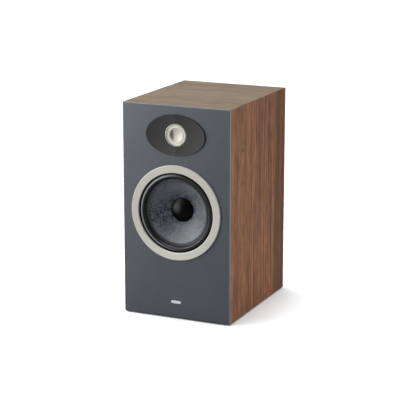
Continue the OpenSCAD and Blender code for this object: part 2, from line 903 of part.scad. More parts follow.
module solder_lugs() {
    color("#c0c3c7") on_rear(0, terminal_z) at_posts() from_floor()
        translate([0, 0, -cup_wall - lug_t]) linear_extrude(lug_t) difference() {
            union() {
                circle(lug_r);
                translate([-lug_tail.x / 2, -lug_tail.y]) square([lug_tail.x, lug_tail.y - post_r - past]);
            }
            circle(post_r + glue_gap);
        }
}

module clamp_washer(which) {
    color("#c9a24d") on_rear(0, terminal_z) at_posts([which]) from_floor()
        ring(washer_bore_r, washer_r, collar_t + stack_gap, collar_t + stack_gap + washer_t);
}

module clamp_washer_positive() {
    clamp_washer(1);
}

module clamp_washer_negative() {
    clamp_washer(-1);
}

module knob(which) {
    on_rear(0, terminal_z) at_posts([which]) from_floor() translate([0, 0, knob_s]) difference() {
        union() {
            ring(0, knob_r - knob_step, 0, knob_len);
            ring(0, knob_r, 0, knob_len - knob_band);
        }
        ring(0, knob_bore_r, -past, knob_len + past);
        around(flute_n, knob_r + flute_r / 3) ring(0, flute_r, knob_band, knob_len, $fn = small_fn);
    }
}

module knob_positive() {
    color("#a3161b") knob(1);
}

module knob_negative() {
    color("#161617") knob(-1);
}

// ---- crossover ----

module crossover_board() {
    color("#2e5a3a") translate([0, board_y, board_z]) linear_extrude(board_t) difference() {
        square(board_size, center = true);
        at_corners(board_hole) circle(board_screw_r + lap, $fn = small_fn);
    }
}

// Spacers under the board's corners, each with its screw
module board_standoffs() {
    color("#e6e2d5") translate([0, board_y, board_z]) at_corners(board_hole) {
        ring(0, standoff_r, -standoff_h, 0);
        ring(0, board_screw_r, 0, board_t, $fn = small_fn);
        ring(0, board_head_r, board_t, board_t + board_head_h, $fn = small_fn);
    }
}

// A winding between two cheeks, on an open core
module inductor(r, h) {
    cheek = 1.5;
    difference() {
        union() {
            ring(0, r + cheek, 0, cheek);
            ring(0, r, cheek - lap, h - cheek + lap);
            ring(0, r + cheek, h - cheek, h);
        }
        ring(0, r * 0.42, -past, h + past);
    }
}

module inductors() {
    color("#b5622d") translate([0, board_y, parts_z]) {
        translate([-36, 20, 0]) inductor(19, 24);
        translate([40, -24, 0]) inductor(15, 16);
    }
}

// Three film capacitors on their sides, each [middle x, middle y, radius, length]
module capacitors() {
    color("#33508a") translate([0, board_y, parts_z])
        for (c = [[-34, -27, 9, 34], [0, -30, 7, 28], [36, 24, 10, 36]])
            translate([c[0] - c[3] / 2, c[1], c[2]]) rotate([0, 90, 0]) cylinder(r = c[2], h = c[3]);
}

module resistors() {
    body = [38, 9, 9];
    color("#e9e7df") translate([0, board_y, parts_z])
        for (y = [-10, 3]) translate([-13, y, 0]) cube(body);
}

// Three pairs of wires, each from a pad on the board to its tag or lug
module internal_wiring() {
    color("#8c1f1f") for (i = [-1, 1]) {
        to_posts(i);
        to_woofer(i);
        to_tweeter(i);
    }
}

module to_posts(i) {
    x = i * post_gap / 2;
    z = terminal_z - lug_drop;
    tube([
        [x, pad_y, parts_z], [x, pad_y, parts_z + 9], [x, pad_y + 5, parts_z + 20],
        [x, pad_y + 17, parts_z + 30], [x, pad_y + 32, z - 9], [x, lug_y - 12, z - 2],
        [x, lug_y - 5, z], [x, lug_y, z]
    ], wire_r);
}

module to_woofer(i) {
    z = tag_tip_z;
    tube([
        [i * 4, pad_front_y, parts_z], [i * 4, pad_front_y, parts_z + 10],
        [i * 4.5, pad_front_y - 5, parts_z + 28], [i * 5, pad_front_y - 15, z - 57],
        [i * 6, pad_front_y - 25, z - 33], [i * lead_x, tag_y - 3, z - 15],
        [i * lead_x, tag_y, z - 7], [i * lead_x, tag_y, z]
    ], wire_r);
}

module to_tweeter(i) {
    z = t_tag_z;
    tube([
        [-60 + i * 2, board_y + 10, parts_z], [-60 + i * 2, board_y + 10, parts_z + 14],
        [-58 + i * 2, board_y + 4, z - 217], [-57 + i * 2, board_y - 6, z - 137],
        [-54 + i * 2, board_y - 14, z - 67], [-50 + i * 2, board_y - 22, brace_z + 4],
        [-30 + i * 3, board_y - 34, brace_z + 24], [-12 + i * 4, t_tag_y + 18, z - 5],
        [i * t_tag_x, t_tag_y + 8, z], [i * t_tag_x, t_tag_y, z]
    ], wire_r);
}

// ---- assembly ----

side_panel_left();
side_panel_right();
top_panel();
bottom_panel();
rear_panel();
front_baffle();
front_fascia();
window_brace();
damping_wadding();
rubber_feet();
badge();
woofer_trim_ring();
woofer_gasket();
woofer_basket();
woofer_screws();
woofer_surround();
woofer_spider();
woofer_top_plate();
woofer_magnet();
woofer_yoke();
woofer_terminals();
woofer_tinsel_leads();
woofer_cone();
woofer_dust_cap();
woofer_former();
woofer_voice_coil();
tweeter_faceplate();
tweeter_bezel();
tweeter_chassis();
tweeter_gasket();
tweeter_screws();
tweeter_surround();
tweeter_top_plate();
tweeter_magnet();
tweeter_yoke();
tweeter_rear_chamber();
tweeter_terminals();
tweeter_dome();
tweeter_former();
tweeter_voice_coil();
port_flare();
port_tube();
port_screws();
terminal_cup();
terminal_gasket();
terminal_screws();
binding_posts();
post_collars();
post_nuts();
clamp_washer_positive();
clamp_washer_negative();
knob_positive();
knob_negative();
crossover_board();
board_standoffs();
inductors();
capacitors();
resistors();
solder_lugs();
internal_wiring();
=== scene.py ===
import json
import math

import bmesh
import bpy
import numpy as np
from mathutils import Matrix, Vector


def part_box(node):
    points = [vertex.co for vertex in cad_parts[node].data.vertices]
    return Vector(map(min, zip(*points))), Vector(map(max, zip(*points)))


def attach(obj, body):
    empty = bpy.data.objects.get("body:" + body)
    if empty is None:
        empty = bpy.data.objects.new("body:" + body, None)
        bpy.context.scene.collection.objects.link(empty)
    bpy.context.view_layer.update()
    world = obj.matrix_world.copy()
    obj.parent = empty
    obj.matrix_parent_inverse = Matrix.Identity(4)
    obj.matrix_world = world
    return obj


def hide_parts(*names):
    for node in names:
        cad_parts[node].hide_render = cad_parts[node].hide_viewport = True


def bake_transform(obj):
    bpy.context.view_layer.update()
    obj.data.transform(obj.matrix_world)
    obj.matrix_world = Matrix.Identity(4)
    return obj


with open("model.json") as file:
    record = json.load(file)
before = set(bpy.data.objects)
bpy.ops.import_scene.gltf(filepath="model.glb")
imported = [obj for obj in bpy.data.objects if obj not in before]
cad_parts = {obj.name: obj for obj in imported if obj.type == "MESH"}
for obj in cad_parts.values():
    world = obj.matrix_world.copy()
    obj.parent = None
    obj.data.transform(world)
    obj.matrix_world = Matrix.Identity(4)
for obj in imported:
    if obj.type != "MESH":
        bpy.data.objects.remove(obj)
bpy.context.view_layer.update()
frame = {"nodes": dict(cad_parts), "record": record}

scene = bpy.context.scene
MM = 0.001
TUBE_SIDES = 12


def middle(node):
    low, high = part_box(node)
    return (low + high) / 2


front_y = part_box("front_fascia")[0].y
top_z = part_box("top_panel")[1].z
woofer = middle("woofer_cone")
tweeter = middle("tweeter_dome")
bead_ring = 19.2 * MM


# ---- camera, floor and light ----


def studio():
    """The view from the right and above, under soft light from the upper left. The camera's place
    and aim are those that bring the cabinet's corners nearest to the photo's."""
    camera = bpy.data.objects.new("camera", bpy.data.cameras.new("camera"))
    camera.data.sensor_width = 36
    camera.data.lens = 135.3
    camera.data.clip_end = 100
    camera.location = (1.128, -2.5065, 0.8655)
    yaw, pitch = math.radians(24.48), math.radians(13.72)
    level = math.cos(pitch)
    ahead = Vector((-math.sin(yaw) * level, math.cos(yaw) * level, -math.sin(pitch)))
    camera.rotation_euler = ahead.to_track_quat("-Z", "Y").to_euler()
    scene.collection.objects.link(camera)
    scene.camera = camera
    scene.view_settings.view_transform = "Standard"

    soft_box("key_light", (-0.84, -0.72, 0.50), size=0.9, power=11)
    soft_box("side_light", (1.15, 0.14, 0.18), size=0.7, power=8.2)
    sun("top_sun", side=-110, height=83, wide=34, strength=3.2)
    scene.world = pale_room()


def pale_floor():
    """A floor that looks white to the camera and sends little light back up."""
    reach = 30
    corners = [(-reach, -reach, 0), (reach, -reach, 0), (reach, reach, 0), (-reach, reach, 0)]
    mesh = bpy.data.meshes.new("floor")
    mesh.from_pydata(corners, [], [(0, 1, 2, 3)])
    floor = bpy.data.objects.new("floor", mesh)
    scene.collection.objects.link(floor)
    finish = Finish("floor_white", Roughness=0.9)
    at = finish.place()
    tone = finish.noise(at, 3, detail=2)
    seen = finish.add("LightPath", {}).outputs["Is Camera Ray"]
    white = finish.ramp(tone, (0.3, (0.915, 0.93, 0.94)), (0.7, (0.925, 0.94, 0.95)))
    finish.colour(finish.mix(seen, (0.20, 0.20, 0.20), white))
    mesh.materials.append(finish.material)


def soft_box(name, place, size, power):
    """A square soft light near the object that faces its front."""
    light = bpy.data.lights.new(name, "AREA")
    light.size = size
    light.energy = power
    lamp = bpy.data.objects.new(name, light)
    lamp.location = place
    target = Vector((0, front_y, 0.2))
    lamp.rotation_euler = (target - lamp.location).to_track_quat("-Z", "Y").to_euler()
    lamp.visible_camera = False
    scene.collection.objects.link(lamp)


def sun(name, side, height, wide, strength):
    """Even soft light from far away, side degrees round from the front and height degrees up."""
    light = bpy.data.lights.new(name, "SUN")
    light.angle = math.radians(wide)
    light.energy = strength
    lamp = bpy.data.objects.new(name, light)
    turn, up = math.radians(side), math.radians(height)
    toward = Vector((math.sin(turn) * math.cos(up), -math.cos(turn) * math.cos(up), math.sin(up)))
    lamp.rotation_euler = toward.to_track_quat("Z", "Y").to_euler()
    scene.collection.objects.link(lamp)


def pale_room():
    """A white backdrop that lights the object more from its left and right than from the front."""
    world = bpy.data.worlds.new("studio")
    world.use_nodes = True
    nodes, links = world.node_tree.nodes, world.node_tree.links

    def math_node(operation, first, second):
        node = nodes.new("ShaderNodeMath")
        node.operation = operation
        for socket, value in zip(node.inputs, (first, second)):
            if isinstance(value, bpy.types.NodeSocket):
                links.new(value, socket)
            else:
                socket.default_value = value
        return node.outputs[0]

    way = nodes.new("ShaderNodeTexCoord").outputs["Generated"]
    level = 0.10
    left, right = ((-0.80, -0.30, 0.35), -0.1, 0.55), ((1.0, 0.3, 0.35), 0.2, 0.45)
    for toward, start, glow in (left, right):
        facing = nodes.new("ShaderNodeVectorMath")
        facing.operation = "DOT_PRODUCT"
        links.new(way, facing.inputs[0])
        facing.inputs[1].default_value = Vector(toward).normalized()
        share = nodes.new("ShaderNodeMapRange")
        share.interpolation_type = "SMOOTHSTEP"
        links.new(facing.outputs["Value"], share.inputs["Value"])
        share.inputs["From Min"].default_value = start
        share.inputs["To Max"].default_value = glow
        level = math_node("ADD", level, share.outputs["Result"])
    seen = nodes.new("ShaderNodeLightPath").outputs["Is Camera Ray"]
    backdrop = nodes["Background"]
    links.new(math_node("MAXIMUM", level, seen), backdrop.inputs["Strength"])
    backdrop.inputs["Color"].default_value = (1, 1, 1, 1)
    return world


# ---- a short way to write materials ----


def srgb(red, green, blue):
    """A screen colour, 0 to 255, as the linear colour that the nodes take."""
    parts = [c / 255 for c in (red, green, blue)]
    return tuple(c / 12.92 if c <= 0.04045 else ((c + 0.055) / 1.055) ** 2.4 for c in parts)


class Finish:
    """A material with a Principled shader, and short calls for the nodes that feed it.
    Places are in metres in the model's own frame, so a pattern's scale is its real one."""

    def __init__(self, name, **fixed):
        """fixed holds values for the shader's own sockets, with _ for each space in a name."""
        self.material = bpy.data.materials.new(name)
        self.material.use_nodes = True
        self.tree = self.material.node_tree
        self.shader = self.tree.nodes["Principled BSDF"]
        for socket, value in fixed.items():
            self.shader.inputs[socket.replace("_", " ")].default_value = value

    def add(self, kind, inputs, **settings):
        node = self.tree.nodes.new("ShaderNode" + kind)
        for key, value in settings.items():
            setattr(node, key, value)
        for key, value in inputs.items():
            self.feed(node.inputs[key], value)
        return node

    def feed(self, socket, value):
        if isinstance(value, bpy.types.NodeSocket):
            self.tree.links.new(value, socket)
        elif isinstance(value, tuple) and len(value) == 3 and socket.type == "RGBA":
            socket.default_value = (*value, 1)
        else:
            socket.default_value = value

    def place(self, scale=(1, 1, 1), origin=(0, 0, 0)):
        """Where a point is, from an origin, with each axis stretched."""
        at = self.add("TexCoord", {}).outputs["Object"]
        shift = tuple(-s * o for s, o in zip(scale, origin))
        return self.add("Mapping", {"Vector": at, "Location": shift, "Scale": scale}).outputs[0]

    def part(self, at, axis):
        return self.add("SeparateXYZ", {0: at}).outputs[axis]

    def length(self, at):
        """How far a point is from the origin of at."""
        return self.add("VectorMath", {0: at}, operation="LENGTH").outputs["Value"]

    def radius(self, at):
        """How far a point is from a driver's axis through the origin of at."""
        flat = self.add("VectorMath", {0: at, 1: (1, 0, 1)}, operation="MULTIPLY")
        return self.length(flat.outputs[0])

    def turn(self, at):
        """The angle of a point round a driver's axis, from -pi to pi."""
        split = self.add("SeparateXYZ", {0: at})
        return self.math("ARCTAN2", split.outputs["Z"], split.outputs["X"])

    def vector(self, x, y=0.0):
        return self.add("CombineXYZ", {"X": x, "Y": y}).outputs[0]

    def off(self, value, centre):
        """How far a value is from a centre, either way."""
        return self.math("ABSOLUTE", self.math("SUBTRACT", value, centre))

    def noise(self, at, scale, detail=3.0, roughness=0.5, distortion=0.0):
        inputs = {"Vector": at, "Scale": scale, "Detail": detail}
        inputs.update({"Roughness": roughness, "Distortion": distortion})
        return self.add("TexNoise", inputs).outputs["Fac"]

    def cells(self, at, scale, feature="F1"):
        node = self.add("TexVoronoi", {"Vector": at, "Scale": scale}, feature=feature)
        return node.outputs["Distance"]

    def wave(self, at, scale, axis, distortion=0.0):
        inputs = {"Vector": at, "Scale": scale, "Distortion": distortion}
        return self.add("TexWave", inputs, wave_type="BANDS", bands_direction=axis).outputs["Fac"]

    def math(self, operation, first, second=0.0):
        return self.add("Math", {0: first, 1: second}, operation=operation).outputs[0]

    def times(self, first, second):
        return self.math("MULTIPLY", first, second)

    def span(self, value, low, high, to_low=0.0, to_high=1.0, smooth=False):
        inputs = {"Value": value, "From Min": low, "From Max": high}
        inputs.update({"To Min": to_low, "To Max": to_high})
        kind = "SMOOTHSTEP" if smooth else "LINEAR"
        return self.add("MapRange", inputs, interpolation_type=kind).outputs["Result"]

    def ramp(self, value, *stops):
        """Colours between (place, colour) stops."""
        node = self.add("ValToRGB", {"Fac": value})
        band = node.color_ramp.elements
        while len(band) < len(stops):
            band.new(0.5)
        for element, (where, colour) in zip(band, stops):
            element.position = where
            element.color = (*colour, 1)
        return node.outputs["Color"]

    def mix(self, share, first, second, how="MIX"):
        node = self.add("Mix", {}, data_type="RGBA", blend_type=how)
        sockets = node.inputs[0], node.inputs[6], node.inputs[7]
        for socket, value in zip(sockets, (share, first, second)):
            self.feed(socket, value)
        return node.outputs[2]

    def tint(self, colour, amount, value):
        """A colour made darker or lighter by up to amount, as a 0 to 1 value says."""
        level = self.span(value, 0, 1, 1 - amount, 1 + amount)
        grey = self.add("CombineColor", {0: level, 1: level, 2: level}).outputs[0]
        return self.mix(1.0, colour, grey, "MULTIPLY")

    def colour(self, value):
        self.feed(self.shader.inputs["Base Color"], value)

    def rough(self, value, low, high):
        self.feed(self.shader.inputs["Roughness"], self.span(value, 0, 1, low, high))

    def bump(self, height, depth):
        """Raises the surface by up to depth metres where height is 1."""
        node = self.add("Bump", {"Height": height, "Distance": depth, "Strength": 1.0})
        self.feed(self.shader.inputs["Normal"], node.outputs["Normal"])


def drawn(axis, share):
    """The scale of a pattern that is drawn out along one axis."""
    return tuple(share if axis == own else 1.0 for own in "XYZ")


# ---- finishes ----


def veneer(name, grain, tones, seed):
    """Walnut-look wrap, its grain along one axis: bands, short strands, fine lines and pores."""
    finish = Finish(name, Specular_IOR_Level=0.22)

    def stretched(share):
        return finish.place(drawn(grain, share), (seed, seed, seed))

    dark, mid, light = tones
    bands = finish.noise(stretched(0.06), 55, detail=4, roughness=0.55, distortion=0.2)
    colour = finish.ramp(bands, (0.30, dark), (0.46, mid), (0.60, light), (0.78, mid))
    strands = finish.noise(stretched(0.09), 380, detail=3, roughness=0.6, distortion=0.3)
    colour = finish.tint(colour, 0.36, finish.span(strands, 0.28, 0.72))
    lines = finish.noise(stretched(0.03), 1100, detail=3, roughness=0.65)
    colour = finish.tint(colour, 0.34, lines)
    pores = finish.span(finish.noise(stretched(0.06), 1900, detail=2), 0.42, 0.30)
    return finish, colour, lines, pores


def finish_veneer(finish, colour, lines, pores, dark):
    """Pores darken and dent the wrap, and the lines show in its sheen."""
    finish.colour(finish.mix(finish.times(pores, 0.55), colour, dark))
    finish.rough(lines, 0.42, 0.56)
    finish.bump(finish.math("SUBTRACT", lines, pores), 0.00006)
    return finish.material


def walnut_side():
    """The sides: upright grain, a red streak behind the middle, a darker rear, two small knots."""
    dark, mid, light = srgb(104, 68, 50), srgb(122, 82, 59), srgb(136, 94, 66)
    finish, colour, lines, pores = veneer("walnut_side", "Z", (dark, mid, light), 0.0)
    sway = finish.noise(finish.place(drawn("Z", 0.05)), 40, detail=2)
    sway = finish.span(sway, 0, 1, -12 * MM, 12 * MM)
    depth = finish.math("ADD", finish.part(finish.place(origin=(0, front_y, 0)), "Y"), sway)

    def streak(where, wide):
        return finish.span(finish.off(depth, where), wide, 0, smooth=True)

    rings = finish.noise(finish.place(drawn("Z", 0.012)), 200, detail=3, roughness=0.6)
    ringed = finish.mix(finish.span(rings, 0.51, 0.60, 0, 0.75), colour, srgb(62, 36, 26))
    ringed = finish.mix(finish.span(rings, 0.46, 0.37, 0, 0.70), ringed, srgb(164, 108, 72))
    colour = finish.mix(finish.span(depth, 40 * MM, 140 * MM, 0.2, 1.0), colour, ringed)
    mottle = finish.noise(finish.place(drawn("Z", 0.22)), 130, detail=3, roughness=0.6)
    colour = finish.tint(colour, 0.28, finish.span(mottle, 0.28, 0.72))
    patchy = finish.noise(finish.place(drawn("Z", 0.15), (0, 0.3, 0)), 30)
    patchy = finish.span(patchy, 0.35, 0.6)
    red = finish.times(streak(200 * MM, 9 * MM), patchy)
    red = finish.times(red, finish.span(rings, 0.56, 0.44, 0.25, 0.85))
    colour = finish.mix(red, colour, srgb(172, 90, 50))
    gold = finish.times(streak(14 * MM, 10 * MM), patchy)
    colour = finish.mix(finish.times(gold, 0.4), colour, srgb(152, 122, 82))
    rear = finish.span(depth, 207 * MM, 216 * MM, 0, 0.68)
    colour = finish.mix(rear, colour, srgb(84, 58, 32))

    wobble = finish.span(finish.noise(finish.place(), 150), 0, 1, 0.6, 1.6)
    for down in (82 * MM, 142 * MM):
        away = finish.length(finish.place((0, 1, 1.9), (0, front_y + 58 * MM, top_z - down)))
        away = finish.times(away, wobble)
        knot = finish.span(away, 12 * MM, 3 * MM, 0, 0.5, smooth=True)
        colour = finish.mix(knot, colour, srgb(70, 50, 40))
    return finish_veneer(finish, colour, lines, pores, dark)


def walnut_flat():
    """The top and the underside, where the same wrap runs from left to right."""
    dark, mid, light = srgb(112, 98, 82), srgb(120, 105, 88), srgb(126, 112, 95)
    finish, colour, lines, pores = veneer("walnut_flat", "X", (dark, mid, light), 0.7)
    return finish_veneer(finish, colour, lines, pores, dark)


def charcoal_panel():
    """Satin lacquer with a faint orange peel, bluer below, with a painted highlight over the
    rounded edges.
    """
    finish = Finish("charcoal_panel", Specular_IOR_Level=0.5, Coat_Weight=0.5, Coat_Roughness=0.42)
    centre = middle("front_fascia")
    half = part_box("front_fascia")[1] - centre
    at = finish.place()
    cloud = finish.noise(at, 14, detail=2)
    above = finish.ramp(cloud, (0.3, srgb(60, 68, 74)), (0.7, srgb(65, 73, 80)))
    below = finish.ramp(cloud, (0.3, srgb(63, 67, 76)), (0.7, srgb(68, 72, 82)))
    height = finish.span(finish.part(at, "Z"), centre.z - half.z, centre.z + half.z)
    tone = finish.mix(height, below, above)
    across = finish.off(finish.part(at, "X"), centre.x)
    up = finish.off(finish.part(at, "Z"), centre.z)
    # Painted highlight: the rounded edges are mixed towards a pale blue-grey, as if they caught the
    # light.
    upright_edge_highlight = finish.span(across, half.x - 1.8 * MM, half.x - 0.7 * MM)
    level_edge_highlight = finish.span(up, half.z - 1.6 * MM, half.z - 0.6 * MM, 0, 0.5)
    edges = finish.math("MAXIMUM", upright_edge_highlight, level_edge_highlight)
    finish.colour(finish.mix(edges, tone, srgb(106, 112, 122)))
    peel = finish.noise(at, 900, detail=2)
    finish.rough(peel, 0.40, 0.48)
    finish.bump(peel, 0.00002)
    return finish.material


def raw_board(name, colour, speck):
    """Pressed fibres: mdf, or the card of the port's tube."""
    finish = Finish(name, Specular_IOR_Level=0.2)
    at = finish.place()
    fibres = finish.noise(at, 1400, detail=4, roughness=0.7)
    patches = finish.noise(at, 90, detail=3)
    tone = finish.mix(finish.span(fibres, 0.45, 0.7), colour, speck)
    finish.colour(finish.tint(tone, 0.12, patches))
    finish.rough(fibres, 0.75, 0.95)
    finish.bump(fibres, 0.0001)
    return finish.material


def brace_ply():
    """Plywood: plies that show on the edges, under grain that runs from front to back."""
    finish = Finish("brace_ply", Specular_IOR_Level=0.25)
    plies = finish.wave(finish.place(), 60, "Z")
    grain = finish.noise(finish.place(drawn("Y", 0.06)), 260, detail=4, distortion=0.4)
    tone = finish.ramp(grain, (0.3, srgb(172, 134, 92)), (0.6, srgb(200, 165, 120)))
    finish.colour(finish.mix(finish.span(plies, 0.3, 0.7, 0, 0.35), tone, srgb(140, 100, 66)))
    finish.rough(grain, 0.6, 0.8)
    finish.bump(grain, 0.0001)
    return finish.material


def leather_vinyl():
    """Black vinyl with a fine pebbled grain, on the rear panel."""
    finish = Finish("leather_vinyl", Specular_IOR_Level=0.4)
    at = finish.place()
    pebbles = finish.cells(at, 900, "SMOOTH_F1")
    cloud = finish.noise(at, 60)
    finish.colour(finish.tint(srgb(38, 38, 40), 0.25, cloud))
    finish.rough(pebbles, 0.45, 0.7)
    finish.bump(pebbles, 0.0001)
    return finish.material


def moulded(name, colour, gloss=(0.45, 0.6), grain=0.00004, **fixed):
    """Plastic or paint from a mould or gun: a fine even texture and slight clouds."""
    finish = Finish(name, **fixed)
    at = finish.place()
    texture = finish.noise(at, 1900, detail=2, roughness=0.6)
    cloud = finish.noise(at, 45, detail=3)
    finish.colour(finish.tint(colour, 0.14, cloud))
    finish.rough(texture, *gloss)
    finish.bump(texture, grain)
    return finish.material


def rubber(name, colour):
    """Matt rubber or closed-cell foam, with a powdery bloom in places."""
    finish = Finish(name, Specular_IOR_Level=0.35)
    at = finish.place()
    pits = finish.cells(at, 2200)
    bloom = finish.noise(at, 70, detail=4)
    finish.colour(finish.mix(finish.span(bloom, 0.5, 0.75, 0, 0.25), colour, srgb(70, 70, 72)))
    finish.rough(pits, 0.6, 0.85)
    finish.bump(pits, 0.00006)
    return finish.material


def brushed(name, colour, axis, low, high, **fixed):
    """Metal drawn along one axis, or plated: fine lines in its gloss and a little tarnish."""
    finish = Finish(name, **{"Metallic": 1.0, **fixed})
    lines = finish.noise(finish.place(drawn(axis, 0.04)), 2600, detail=3)
    tarnish = finish.noise(finish.place(), 120, detail=4)
    finish.colour(finish.tint(colour, 0.12, tarnish))
    finish.rough(lines, low, high)
    finish.bump(lines, 0.00002)
    return finish.material


def trim_metal():
    """The broad ring round the woofer: warm grey satin, turned in fine rings. It has painted shade
    towards its upper left, painted light towards its lower right, and painted highlights above and
    below."""
    finish = Finish("trim_metal", Metallic=0.3, Specular_IOR_Level=0.5)
    at = finish.place(origin=tuple(woofer))
    turn = finish.turn(at)
    rings = finish.vector(finish.radius(at), finish.times(turn, 0.0004))
    rings = finish.noise(rings, 2400, detail=3)
    patches = finish.noise(finish.vector(finish.times(turn, 0.5)), 2.2, detail=1)
    x, z = finish.part(at, "X"), finish.part(at, "Z")
    # Painted shade and light: the ring is darker towards its upper left and paler towards its lower
    # right.
    left, right = srgb(189, 187, 176), srgb(210, 209, 199)
    tone = finish.mix(finish.span(finish.math("SUBTRACT", x, z), -80 * MM, 80 * MM), left, right)
    # Painted highlights: a little paler towards its top and its lowest part than across its middle.
    tone = finish.tint(tone, 0.03, finish.span(finish.math("ABSOLUTE", z), 50 * MM, 80 * MM))
    finish.colour(finish.tint(finish.tint(tone, 0.05, rings), 0.05, patches))
    finish.rough(rings, 0.38, 0.5)
    finish.bump(rings, 0.000015)
    return finish.material


def bezel_metal():
    """Pale satin with a darker track under its ring of beads."""
    finish = Finish("bezel_metal", Metallic=0.4)
    at = finish.place(origin=(tweeter.x, front_y, tweeter.z))
    out = finish.radius(at)
    rings = finish.noise(finish.vector(out), 5000, detail=2)
    behind_beads = finish.span(finish.part(at, "Y"), -0.3 * MM, -0.1 * MM)
    track = finish.span(finish.off(out, bead_ring), 1.1 * MM, 0.8 * MM)
    track = finish.times(track, behind_beads)
    tone = finish.tint(srgb(234, 232, 222), 0.06, rings)
    finish.colour(finish.mix(track, tone, srgb(66, 64, 62)))
    finish.rough(rings, 0.28, 0.4)
    return finish.material


def dome_metal():
    """The inverted dome: satin champagne with faint spun rings, and painted shade down its left
    wall.
    """
    finish = Finish("dome_metal", Metallic=0.2, Specular_IOR_Level=0.35)
    at = finish.place(origin=tuple(tweeter))
    out = finish.radius(at)
    rings = finish.noise(finish.vector(out), 5000, detail=2)
    tone = finish.tint(srgb(206, 203, 190), 0.05, rings)
    # Painted shade: the left wall of the hollow is darkened as if the light from the left missed
    # it.
    left = finish.span(finish.part(at, "X"), -4.5 * MM, -8 * MM, smooth=True)
    inside = finish.span(out, 12.2 * MM, 11.2 * MM)
    shade_crescent = finish.times(finish.times(left, inside), 0.8)
    finish.colour(finish.mix(shade_crescent, tone, srgb(84, 83, 78)))
    finish.rough(rings, 0.50, 0.56)
    return finish.material


def badge_metal():
    """Bright plated metal."""
    return brushed("badge_metal", srgb(236, 237, 240), "X", 0.24, 0.36, Metallic=0.4)


def oval_plate():
    """Fine satin charcoal with a very slight grain."""
    return moulded("oval_plate", srgb(47, 47, 47), (0.42, 0.5), 0.00002, Specular_IOR_Level=0.3)


def surround_rubber():
    """Smooth black rubber: a grey inner strip, a roll with a painted highlight on its outer slope
    on its left, and a foot painted near black as shade in the gap."""
    finish = Finish("surround_rubber", Specular_IOR_Level=0.5)
    at = finish.place(origin=tuple(woofer))
    dust = finish.noise(at, 220, detail=4)
    out = finish.radius(at)
    strip = finish.span(out, 60.6 * MM, 60 * MM)
    # Painted highlight: the outer slope of the roll on the left is mixed towards pale grey.
    slope_highlight = finish.span(out, 66.2 * MM, 70 * MM, smooth=True)
    left = finish.span(finish.part(at, "X"), 20 * MM, -45 * MM, smooth=True)
    # Painted shade: the foot down in the gap under the trim ring is made near black.
    foot = finish.span(out, 71.1 * MM, 71.7 * MM)
    tone = finish.mix(strip, srgb(16, 16, 18), srgb(52, 54, 58))
    tone = finish.mix(finish.times(slope_highlight, left), tone, srgb(142, 145, 150))
    tone = finish.mix(foot, tone, srgb(5, 5, 6))
    finish.colour(finish.tint(tone, 0.3, dust))
    finish.rough(dust, 0.30, 0.42)
    finish.bump(finish.noise(at, 2600), 0.00002)
    return finish.material


def cream_suspension():
    """Soft cream rubber that lets a little light in."""
    finish = Finish("cream_suspension", Specular_IOR_Level=0.4, Subsurface_Weight=0.1)
    finish.shader.inputs["Subsurface Radius"].default_value = (0.002, 0.0015, 0.001)
    at = finish.place(origin=tuple(tweeter))
    cloud = finish.noise(at, 400, detail=3)
    finish.colour(finish.ramp(cloud, (0.3, srgb(226, 223, 208)), (0.7, srgb(238, 235, 222))))
    finish.rough(cloud, 0.45, 0.6)
    finish.bump(finish.noise(at, 3500), 0.00002)
    return finish.material


def cone_fibre():
    """Pressed slate-grey fibre: marbled strands and navy flecks towards the left and the middle,
    with
    painted light: a paler lower part and a faint highlight line on the right."""
    finish = Finish("cone_fibre", Specular_IOR_Level=0.3, Coat_Weight=0.12, Coat_Roughness=0.4)
    at = finish.place(origin=tuple(woofer))
    out, x, z = finish.radius(at), finish.part(at, "X"), finish.part(at, "Z")
    marble = finish.noise(at, 48, detail=6, roughness=0.6, distortion=1.2)
    slate, mid, ash = srgb(70, 72, 77), srgb(91, 95, 101), srgb(108, 113, 119)
    tone = finish.ramp(marble, (0.30, slate), (0.50, mid), (0.72, ash))
    strands = finish.place(drawn("Z", 0.35), tuple(woofer))
    strands = finish.noise(strands, 520, detail=3, distortion=2.0)
    tone = finish.tint(tone, 0.25, strands)

    near = finish.span(out, 38 * MM, 22 * MM, smooth=True)
    left = finish.span(x, 4 * MM, -34 * MM, 0, 0.9, smooth=True)
    low = finish.span(z, 30 * MM, -6 * MM, 0.25, 1.0, smooth=True)
    where = finish.math("MAXIMUM", near, finish.times(left, low))
    blots = finish.noise(at, 240, detail=3, roughness=0.6)
    blots = finish.math("ADD", blots, finish.times(near, 0.05))
    flecks = finish.times(finish.span(blots, 0.47, 0.58), where)
    tone = finish.mix(flecks, tone, srgb(30, 35, 66))

    # Painted light: a soft pale patch over the lower part of the cone, as if lit there.
    cloud = finish.noise(finish.place(origin=(0.012, 0, -0.045)), 26, detail=2)
    lit_lower_part = finish.span(z, -12 * MM, -45 * MM, 0, 0.35, smooth=True)
    tone = finish.mix(finish.times(lit_lower_part, cloud), tone, srgb(160, 162, 160))
    # Painted highlight: a thin pale ring on the right side of the cone.
    highlight_line = finish.span(finish.off(out, 51.5 * MM), 0.9 * MM, 0.3 * MM)
    right = finish.span(x, 12 * MM, 45 * MM, 0, 0.28, smooth=True)
    finish.colour(finish.mix(finish.times(highlight_line, right), tone, srgb(150, 154, 156)))
    finish.rough(strands, 0.38, 0.55)
    finish.bump(finish.math("ADD", strands, marble), 0.00008)
    return finish.material


